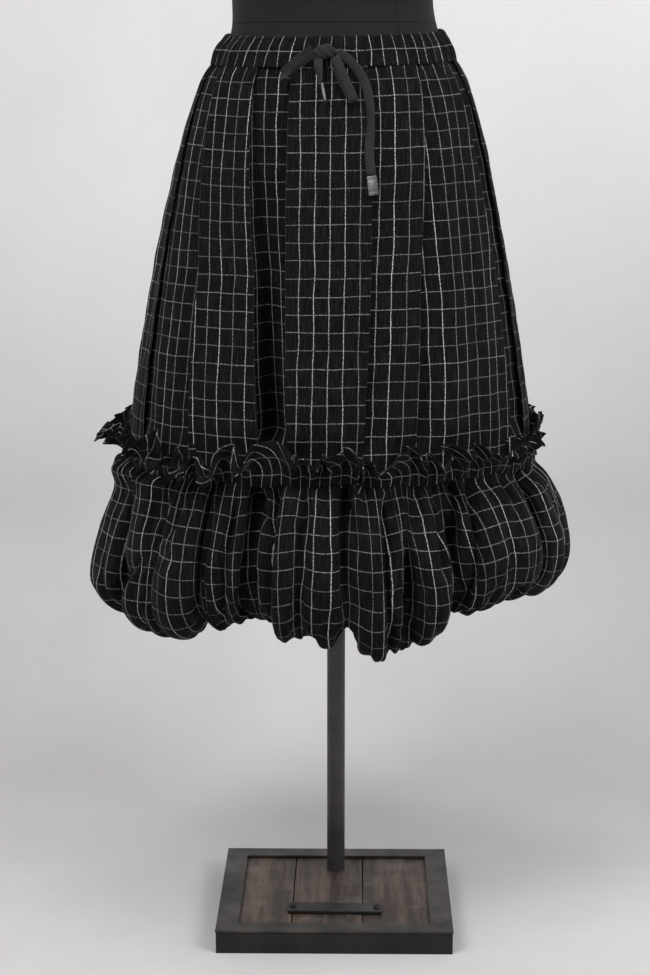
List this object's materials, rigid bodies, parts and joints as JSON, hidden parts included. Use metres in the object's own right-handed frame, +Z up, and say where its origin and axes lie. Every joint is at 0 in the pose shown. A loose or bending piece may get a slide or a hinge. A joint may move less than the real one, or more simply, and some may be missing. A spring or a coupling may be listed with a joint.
{
  "type": "checked bubble-hem skirt on a dress form stand",
  "caption": "Flared pleated skirt in a windowpane check with drawstring waist, frill and gathered bubble hem, on a limbless dress form with pole and square base.",
  "frame": {"origin": "floor point on the pole's axis, on the underside of the base", "axes": "+Z up, the front faces -Y, +X to the right seen from the front"},
  "size_m": [0.5763, 0.5437, 1.5083],
  "materials": {
    "checked_cloth": "crinkled black cotton with an off-white windowpane check",
    "drawstring_tape": "soft charcoal cotton tape",
    "tip_metal": "dull dark nickel",
    "form_jersey": "charcoal jersey cover",
    "pole_black": "satin black",
    "base_steel": "dark waxed steel",
    "base_wood": "dark stained, weathered planks"
  },
  "bodies": {
    "root": {"waistband": "checked_cloth", "body_front": "checked_cloth", "body_back": "checked_cloth", "frill_front": "checked_cloth", "frill_back": "checked_cloth", "bubble_front": "checked_cloth", "bubble_back": "checked_cloth", "drawstring_knot": "drawstring_tape", "loop_left": "drawstring_tape", "loop_right": "drawstring_tape", "tail_long": "drawstring_tape", "tail_short": "drawstring_tape", "tip_long": "tip_metal", "tip_short": "tip_metal", "torso": "form_jersey", "neck_cap": "pole_black", "pole": "pole_black", "base_tray": "base_steel", "base_frame": "base_steel", "plank_left": "base_wood", "plank_middle": "base_wood", "plank_right": "base_wood", "bare_plate": "base_steel", "plate_screw_left": "base_steel", "plate_screw_right": "base_steel"}
  },
  "joints": []
}
